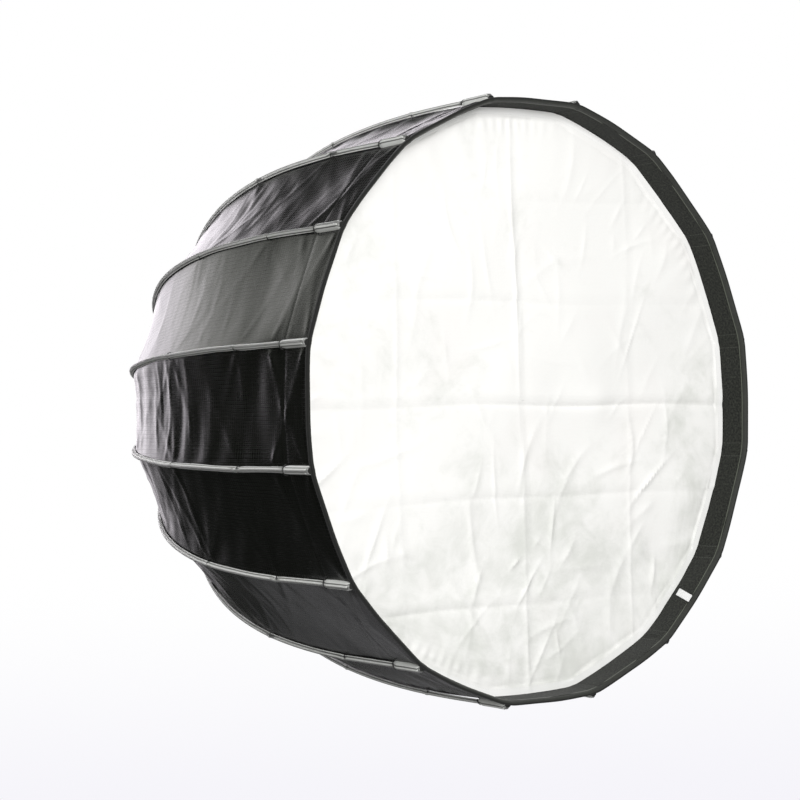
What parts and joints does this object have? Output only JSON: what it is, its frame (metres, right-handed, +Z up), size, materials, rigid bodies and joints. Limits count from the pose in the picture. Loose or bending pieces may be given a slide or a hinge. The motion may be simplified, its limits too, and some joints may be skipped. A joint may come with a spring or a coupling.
{
  "type": "octabox softbox",
  "caption": "Deep round softbox with a folding rib frame, black canopy panels, recessed white front diffuser and a turning bayonet mount ring with release button.",
  "frame": {"origin": "centre of the face that seats on the lamp, on the axis of the box", "axes": "+Y points back into the lamp along the box's axis and the box opens towards -Y; +Z is up; +X is to the right seen from the front"},
  "size_m": [0.7924, 0.7013, 0.7924],
  "materials": {
    "canopy_nylon": "black ripstop nylon, satin outside, silver-coated inside",
    "diffuser_nylon": "matt white translucent nylon",
    "rib_alloy": "satin alloy",
    "black_alloy": "black anodised, fine satin",
    "mount_alloy": "turned, bright",
    "spring_steel": "drawn steel",
    "black_plastic": "fine moulded texture",
    "button_plastic": "red moulded plastic",
    "sleeve_tape": "light grey satin tape"
  },
  "bodies": {
    "lamp_mount_ring": {"mount_ring": "mount_alloy"},
    "hub": {"hub_body": "black_alloy", "hub_cover": "black_alloy", "hub_pivot_wire": "spring_steel", "mount_retainer": "spring_steel", "button_spring": "spring_steel", "front_diffuser": "diffuser_nylon"},
    "runner": {"runner_body": "black_alloy", "runner_cover": "black_alloy", "runner_pivot_wire": "spring_steel"},
    "release_button": {"release_button": "button_plastic"},
    "lock_screw": {"lock_screw": "black_plastic"},
    "rib_01": {"rib_01": "rib_alloy"},
    "rib_02": {"rib_02": "rib_alloy"},
    "rib_03": {"rib_03": "rib_alloy"},
    "rib_04": {"rib_04": "rib_alloy"},
    "rib_05": {"rib_05": "rib_alloy"},
    "rib_06": {"rib_06": "rib_alloy"},
    "rib_07": {"rib_07": "rib_alloy"},
    "rib_08": {"rib_08": "rib_alloy"},
    "rib_09": {"rib_09": "rib_alloy"},
    "rib_10": {"rib_10": "rib_alloy"},
    "rib_11": {"rib_11": "rib_alloy"},
    "rib_12": {"rib_12": "rib_alloy"},
    "rib_13": {"rib_13": "rib_alloy"},
    "rib_14": {"rib_14": "rib_alloy"},
    "rib_15": {"rib_15": "rib_alloy"},
    "rib_16": {"rib_16": "rib_alloy"},
    "strut_01": {"strut_01": "spring_steel"},
    "strut_02": {"strut_02": "spring_steel"},
    "strut_03": {"strut_03": "spring_steel"},
    "strut_04": {"strut_04": "spring_steel"},
    "strut_05": {"strut_05": "spring_steel"},
    "strut_06": {"strut_06": "spring_steel"},
    "strut_07": {"strut_07": "spring_steel"},
    "strut_08": {"strut_08": "spring_steel"},
    "strut_09": {"strut_09": "spring_steel"},
    "strut_10": {"strut_10": "spring_steel"},
    "strut_11": {"strut_11": "spring_steel"},
    "strut_12": {"strut_12": "spring_steel"},
    "strut_13": {"strut_13": "spring_steel"},
    "strut_14": {"strut_14": "spring_steel"},
    "strut_15": {"strut_15": "spring_steel"},
    "strut_16": {"strut_16": "spring_steel"},
    "canopy_panel_01": {"canopy_panel_01": "canopy_nylon"},
    "canopy_panel_02": {"canopy_panel_02": "canopy_nylon"},
    "canopy_panel_03": {"canopy_panel_03": "canopy_nylon"},
    "canopy_panel_04": {"canopy_panel_04": "canopy_nylon"},
    "canopy_panel_05": {"canopy_panel_05": "canopy_nylon"},
    "canopy_panel_06": {"canopy_panel_06": "canopy_nylon"},
    "canopy_panel_07": {"canopy_panel_07": "canopy_nylon"},
    "canopy_panel_08": {"canopy_panel_08": "canopy_nylon"},
    "canopy_panel_09": {"canopy_panel_09": "canopy_nylon"},
    "canopy_panel_10": {"canopy_panel_10": "canopy_nylon"},
    "canopy_panel_11": {"canopy_panel_11": "canopy_nylon"},
    "canopy_panel_12": {"canopy_panel_12": "canopy_nylon"},
    "canopy_panel_13": {"canopy_panel_13": "canopy_nylon"},
    "canopy_panel_14": {"canopy_panel_14": "canopy_nylon"},
    "canopy_panel_15": {"canopy_panel_15": "canopy_nylon"},
    "canopy_panel_16": {"canopy_panel_16": "canopy_nylon"}
  },
  "joints": [
    {"name": "box_turn", "type": "hinge", "parent": "lamp_mount_ring", "child": "hub", "pos_m": [0, 0, 0], "axis": [0, -1, 0], "continuous": true},
    {"name": "canopy_fold", "type": "hinge", "parent": "hub", "child": "rib_01", "pos_m": [0.01522, -0.024, 0.0765], "axis": [0.9808, 0, -0.1951], "range_deg": [0, 27], "deforming": ["canopy_panel_01", "canopy_panel_02", "canopy_panel_03", "canopy_panel_04", "canopy_panel_05", "canopy_panel_06", "canopy_panel_07", "canopy_panel_08", "canopy_panel_09", "canopy_panel_10", "canopy_panel_11", "canopy_panel_12", "canopy_panel_13", "canopy_panel_14", "canopy_panel_15", "canopy_panel_16", "front_diffuser"]},
    {"name": "rib_02_hinge", "type": "hinge", "parent": "hub", "child": "rib_02", "pos_m": [0.04333, -0.024, 0.06485], "axis": [0.8315, 0, -0.5556], "range_deg": [-0.1, 27.1]},
    {"name": "rib_03_hinge", "type": "hinge", "parent": "hub", "child": "rib_03", "pos_m": [0.06485, -0.024, 0.04333], "axis": [0.5556, 0, -0.8315], "range_deg": [-0.1, 27.1]},
    {"name": "rib_04_hinge", "type": "hinge", "parent": "hub", "child": "rib_04", "pos_m": [0.0765, -0.024, 0.01522], "axis": [0.1951, 0, -0.9808], "range_deg": [-0.1, 27.1]},
    {"name": "rib_05_hinge", "type": "hinge", "parent": "hub", "child": "rib_05", "pos_m": [0.0765, -0.024, -0.01522], "axis": [-0.1951, 0, -0.9808], "range_deg": [-0.1, 27.1]},
    {"name": "rib_06_hinge", "type": "hinge", "parent": "hub", "child": "rib_06", "pos_m": [0.06485, -0.024, -0.04333], "axis": [-0.5556, 0, -0.8315], "range_deg": [-0.1, 27.1]},
    {"name": "rib_07_hinge", "type": "hinge", "parent": "hub", "child": "rib_07", "pos_m": [0.04333, -0.024, -0.06485], "axis": [-0.8315, 0, -0.5556], "range_deg": [-0.1, 27.1]},
    {"name": "rib_08_hinge", "type": "hinge", "parent": "hub", "child": "rib_08", "pos_m": [0.01522, -0.024, -0.0765], "axis": [-0.9808, 0, -0.1951], "range_deg": [-0.1, 27.1]},
    {"name": "rib_09_hinge", "type": "hinge", "parent": "hub", "child": "rib_09", "pos_m": [-0.01522, -0.024, -0.0765], "axis": [-0.9808, 0, 0.1951], "range_deg": [-0.1, 27.1]},
    {"name": "rib_10_hinge", "type": "hinge", "parent": "hub", "child": "rib_10", "pos_m": [-0.04333, -0.024, -0.06485], "axis": [-0.8315, 0, 0.5556], "range_deg": [-0.1, 27.1]},
    {"name": "rib_11_hinge", "type": "hinge", "parent": "hub", "child": "rib_11", "pos_m": [-0.06485, -0.024, -0.04333], "axis": [-0.5556, 0, 0.8315], "range_deg": [-0.1, 27.1]},
    {"name": "rib_12_hinge", "type": "hinge", "parent": "hub", "child": "rib_12", "pos_m": [-0.0765, -0.024, -0.01522], "axis": [-0.1951, 0, 0.9808], "range_deg": [-0.1, 27.1]},
    {"name": "rib_13_hinge", "type": "hinge", "parent": "hub", "child": "rib_13", "pos_m": [-0.0765, -0.024, 0.01522], "axis": [0.1951, 0, 0.9808], "range_deg": [-0.1, 27.1]},
    {"name": "rib_14_hinge", "type": "hinge", "parent": "hub", "child": "rib_14", "pos_m": [-0.06485, -0.024, 0.04333], "axis": [0.5556, 0, 0.8315], "range_deg": [-0.1, 27.1]},
    {"name": "rib_15_hinge", "type": "hinge", "parent": "hub", "child": "rib_15", "pos_m": [-0.04333, -0.024, 0.06485], "axis": [0.8315, 0, 0.5556], "range_deg": [-0.1, 27.1]},
    {"name": "rib_16_hinge", "type": "hinge", "parent": "hub", "child": "rib_16", "pos_m": [-0.01522, -0.024, 0.0765], "axis": [0.9808, 0, 0.1951], "range_deg": [-0.1, 27.1]},
    {"name": "runner_slide", "type": "slide", "parent": "hub", "child": "runner", "axis": [0, -1, 0], "range_m": [-0.0002, 0.0422]},
    {"name": "strut_01_hinge", "type": "hinge", "parent": "runner", "child": "strut_01", "pos_m": [0.01132, -0.066, 0.05689], "axis": [0.9808, 0, -0.1951], "range_deg": [-20.37, 0.2]},
    {"name": "strut_02_hinge", "type": "hinge", "parent": "runner", "child": "strut_02", "pos_m": [0.03222, -0.066, 0.04822], "axis": [0.8315, 0, -0.5556], "range_deg": [-20.37, 0.2]},
    {"name": "strut_03_hinge", "type": "hinge", "parent": "runner", "child": "strut_03", "pos_m": [0.04822, -0.066, 0.03222], "axis": [0.5556, 0, -0.8315], "range_deg": [-20.37, 0.2]},
    {"name": "strut_04_hinge", "type": "hinge", "parent": "runner", "child": "strut_04", "pos_m": [0.05689, -0.066, 0.01132], "axis": [0.1951, 0, -0.9808], "range_deg": [-20.37, 0.2]},
    {"name": "strut_05_hinge", "type": "hinge", "parent": "runner", "child": "strut_05", "pos_m": [0.05689, -0.066, -0.01132], "axis": [-0.1951, 0, -0.9808], "range_deg": [-20.37, 0.2]},
    {"name": "strut_06_hinge", "type": "hinge", "parent": "runner", "child": "strut_06", "pos_m": [0.04822, -0.066, -0.03222], "axis": [-0.5556, 0, -0.8315], "range_deg": [-20.37, 0.2]},
    {"name": "strut_07_hinge", "type": "hinge", "parent": "runner", "child": "strut_07", "pos_m": [0.03222, -0.066, -0.04822], "axis": [-0.8315, 0, -0.5556], "range_deg": [-20.37, 0.2]},
    {"name": "strut_08_hinge", "type": "hinge", "parent": "runner", "child": "strut_08", "pos_m": [0.01132, -0.066, -0.05689], "axis": [-0.9808, 0, -0.1951], "range_deg": [-20.37, 0.2]},
    {"name": "strut_09_hinge", "type": "hinge", "parent": "runner", "child": "strut_09", "pos_m": [-0.01132, -0.066, -0.05689], "axis": [-0.9808, 0, 0.1951], "range_deg": [-20.37, 0.2]},
    {"name": "strut_10_hinge", "type": "hinge", "parent": "runner", "child": "strut_10", "pos_m": [-0.03222, -0.066, -0.04822], "axis": [-0.8315, 0, 0.5556], "range_deg": [-20.37, 0.2]},
    {"name": "strut_11_hinge", "type": "hinge", "parent": "runner", "child": "strut_11", "pos_m": [-0.04822, -0.066, -0.03222], "axis": [-0.5556, 0, 0.8315], "range_deg": [-20.37, 0.2]},
    {"name": "strut_12_hinge", "type": "hinge", "parent": "runner", "child": "strut_12", "pos_m": [-0.05689, -0.066, -0.01132], "axis": [-0.1951, 0, 0.9808], "range_deg": [-20.37, 0.2]},
    {"name": "strut_13_hinge", "type": "hinge", "parent": "runner", "child": "strut_13", "pos_m": [-0.05689, -0.066, 0.01132], "axis": [0.1951, 0, 0.9808], "range_deg": [-20.37, 0.2]},
    {"name": "strut_14_hinge", "type": "hinge", "parent": "runner", "child": "strut_14", "pos_m": [-0.04822, -0.066, 0.03222], "axis": [0.5556, 0, 0.8315], "range_deg": [-20.37, 0.2]},
    {"name": "strut_15_hinge", "type": "hinge", "parent": "runner", "child": "strut_15", "pos_m": [-0.03222, -0.066, 0.04822], "axis": [0.8315, 0, 0.5556], "range_deg": [-20.37, 0.2]},
    {"name": "strut_16_hinge", "type": "hinge", "parent": "runner", "child": "strut_16", "pos_m": [-0.01132, -0.066, 0.05689], "axis": [0.9808, 0, 0.1951], "range_deg": [-20.37, 0.2]},
    {"name": "canopy_panel_01_pleat", "type": "hinge", "parent": "rib_01", "child": "canopy_panel_01", "pos_m": [0.03043, -0.024, 0.07347], "axis": [-0.3725, -0.2292, -0.8993], "range_deg": [-0.2, 10.64]},
    {"name": "canopy_panel_02_pleat", "type": "hinge", "parent": "rib_02", "child": "canopy_panel_02", "pos_m": [0.05624, -0.024, 0.05624], "axis": [-0.6883, -0.2292, -0.6883], "range_deg": [-0.2, 10.64]},
    {"name": "canopy_panel_03_pleat", "type": "hinge", "parent": "rib_03", "child": "canopy_panel_03", "pos_m": [0.07347, -0.024, 0.03043], "axis": [-0.8993, -0.2292, -0.3725], "range_deg": [-0.2, 10.64]},
    {"name": "canopy_panel_04_pleat", "type": "hinge", "parent": "rib_04", "child": "canopy_panel_04", "pos_m": [0.07953, -0.024, 0], "axis": [-0.9734, -0.2292, 0], "range_deg": [-0.2, 10.64]},
    {"name": "canopy_panel_05_pleat", "type": "hinge", "parent": "rib_05", "child": "canopy_panel_05", "pos_m": [0.07347, -0.024, -0.03043], "axis": [-0.8993, -0.2292, 0.3725], "range_deg": [-0.2, 10.64]},
    {"name": "canopy_panel_06_pleat", "type": "hinge", "parent": "rib_06", "child": "canopy_panel_06", "pos_m": [0.05624, -0.024, -0.05624], "axis": [-0.6883, -0.2292, 0.6883], "range_deg": [-0.2, 10.64]},
    {"name": "canopy_panel_07_pleat", "type": "hinge", "parent": "rib_07", "child": "canopy_panel_07", "pos_m": [0.03043, -0.024, -0.07347], "axis": [-0.3725, -0.2292, 0.8993], "range_deg": [-0.2, 10.64]},
    {"name": "canopy_panel_08_pleat", "type": "hinge", "parent": "rib_08", "child": "canopy_panel_08", "pos_m": [0, -0.024, -0.07953], "axis": [0, -0.2292, 0.9734], "range_deg": [-0.2, 10.64]},
    {"name": "canopy_panel_09_pleat", "type": "hinge", "parent": "rib_09", "child": "canopy_panel_09", "pos_m": [-0.03043, -0.024, -0.07347], "axis": [0.3725, -0.2292, 0.8993], "range_deg": [-0.2, 10.64]},
    {"name": "canopy_panel_10_pleat", "type": "hinge", "parent": "rib_10", "child": "canopy_panel_10", "pos_m": [-0.05624, -0.024, -0.05624], "axis": [0.6883, -0.2292, 0.6883], "range_deg": [-0.2, 10.64]},
    {"name": "canopy_panel_11_pleat", "type": "hinge", "parent": "rib_11", "child": "canopy_panel_11", "pos_m": [-0.07347, -0.024, -0.03043], "axis": [0.8993, -0.2292, 0.3725], "range_deg": [-0.2, 10.64]},
    {"name": "canopy_panel_12_pleat", "type": "hinge", "parent": "rib_12", "child": "canopy_panel_12", "pos_m": [-0.07953, -0.024, 0], "axis": [0.9734, -0.2292, 0], "range_deg": [-0.2, 10.64]},
    {"name": "canopy_panel_13_pleat", "type": "hinge", "parent": "rib_13", "child": "canopy_panel_13", "pos_m": [-0.07347, -0.024, 0.03043], "axis": [0.8993, -0.2292, -0.3725], "range_deg": [-0.2, 10.64]},
    {"name": "canopy_panel_14_pleat", "type": "hinge", "parent": "rib_14", "child": "canopy_panel_14", "pos_m": [-0.05624, -0.024, 0.05624], "axis": [0.6883, -0.2292, -0.6883], "range_deg": [-0.2, 10.64]},
    {"name": "canopy_panel_15_pleat", "type": "hinge", "parent": "rib_15", "child": "canopy_panel_15", "pos_m": [-0.03043, -0.024, 0.07347], "axis": [0.3725, -0.2292, -0.8993], "range_deg": [-0.2, 10.64]},
    {"name": "canopy_panel_16_pleat", "type": "hinge", "parent": "rib_16", "child": "canopy_panel_16", "pos_m": [0, -0.024, 0.07953], "axis": [0, -0.2292, -0.9734], "range_deg": [-0.2, 10.64]},
    {"name": "button_press", "type": "slide", "parent": "hub", "child": "release_button", "axis": [0, 0, -1], "range_m": [0, 0.0065], "stiffness_N_per_m": 400, "springref_m": -0.004, "deforming": ["button_spring"]},
    {"name": "lock_screw_turn", "type": "hinge", "parent": "hub", "child": "lock_screw", "pos_m": [0, -0.006, -0.09], "axis": [0, 0, -1], "range_deg": [0, 360]}
  ],
  "couplings": [
    {"joint": "rib_02_hinge", "follows": "canopy_fold", "ratio": 1},
    {"joint": "rib_03_hinge", "follows": "canopy_fold", "ratio": 1},
    {"joint": "rib_04_hinge", "follows": "canopy_fold", "ratio": 1},
    {"joint": "rib_05_hinge", "follows": "canopy_fold", "ratio": 1},
    {"joint": "rib_06_hinge", "follows": "canopy_fold", "ratio": 1},
    {"joint": "rib_07_hinge", "follows": "canopy_fold", "ratio": 1},
    {"joint": "rib_08_hinge", "follows": "canopy_fold", "ratio": 1},
    {"joint": "rib_09_hinge", "follows": "canopy_fold", "ratio": 1},
    {"joint": "rib_10_hinge", "follows": "canopy_fold", "ratio": 1},
    {"joint": "rib_11_hinge", "follows": "canopy_fold", "ratio": 1},
    {"joint": "rib_12_hinge", "follows": "canopy_fold", "ratio": 1},
    {"joint": "rib_13_hinge", "follows": "canopy_fold", "ratio": 1},
    {"joint": "rib_14_hinge", "follows": "canopy_fold", "ratio": 1},
    {"joint": "rib_15_hinge", "follows": "canopy_fold", "ratio": 1},
    {"joint": "rib_16_hinge", "follows": "canopy_fold", "ratio": 1},
    {"joint": "runner_slide", "follows": "canopy_fold", "m_per_rad": 0.088915},
    {"joint": "strut_01_hinge", "follows": "canopy_fold", "ratio": -0.74698},
    {"joint": "strut_02_hinge", "follows": "canopy_fold", "ratio": -0.74698},
    {"joint": "strut_03_hinge", "follows": "canopy_fold", "ratio": -0.74698},
    {"joint": "strut_04_hinge", "follows": "canopy_fold", "ratio": -0.74698},
    {"joint": "strut_05_hinge", "follows": "canopy_fold", "ratio": -0.74698},
    {"joint": "strut_06_hinge", "follows": "canopy_fold", "ratio": -0.74698},
    {"joint": "strut_07_hinge", "follows": "canopy_fold", "ratio": -0.74698},
    {"joint": "strut_08_hinge", "follows": "canopy_fold", "ratio": -0.74698},
    {"joint": "strut_09_hinge", "follows": "canopy_fold", "ratio": -0.74698},
    {"joint": "strut_10_hinge", "follows": "canopy_fold", "ratio": -0.74698},
    {"joint": "strut_11_hinge", "follows": "canopy_fold", "ratio": -0.74698},
    {"joint": "strut_12_hinge", "follows": "canopy_fold", "ratio": -0.74698},
    {"joint": "strut_13_hinge", "follows": "canopy_fold", "ratio": -0.74698},
    {"joint": "strut_14_hinge", "follows": "canopy_fold", "ratio": -0.74698},
    {"joint": "strut_15_hinge", "follows": "canopy_fold", "ratio": -0.74698},
    {"joint": "strut_16_hinge", "follows": "canopy_fold", "ratio": -0.74698},
    {"joint": "canopy_panel_01_pleat", "follows": "canopy_fold", "ratio": 0.38671},
    {"joint": "canopy_panel_02_pleat", "follows": "canopy_fold", "ratio": 0.38671},
    {"joint": "canopy_panel_03_pleat", "follows": "canopy_fold", "ratio": 0.38671},
    {"joint": "canopy_panel_04_pleat", "follows": "canopy_fold", "ratio": 0.38671},
    {"joint": "canopy_panel_05_pleat", "follows": "canopy_fold", "ratio": 0.38671},
    {"joint": "canopy_panel_06_pleat", "follows": "canopy_fold", "ratio": 0.38671},
    {"joint": "canopy_panel_07_pleat", "follows": "canopy_fold", "ratio": 0.38671},
    {"joint": "canopy_panel_08_pleat", "follows": "canopy_fold", "ratio": 0.38671},
    {"joint": "canopy_panel_09_pleat", "follows": "canopy_fold", "ratio": 0.38671},
    {"joint": "canopy_panel_10_pleat", "follows": "canopy_fold", "ratio": 0.38671},
    {"joint": "canopy_panel_11_pleat", "follows": "canopy_fold", "ratio": 0.38671},
    {"joint": "canopy_panel_12_pleat", "follows": "canopy_fold", "ratio": 0.38671},
    {"joint": "canopy_panel_13_pleat", "follows": "canopy_fold", "ratio": 0.38671},
    {"joint": "canopy_panel_14_pleat", "follows": "canopy_fold", "ratio": 0.38671},
    {"joint": "canopy_panel_15_pleat", "follows": "canopy_fold", "ratio": 0.38671},
    {"joint": "canopy_panel_16_pleat", "follows": "canopy_fold", "ratio": 0.38671}
  ]
}
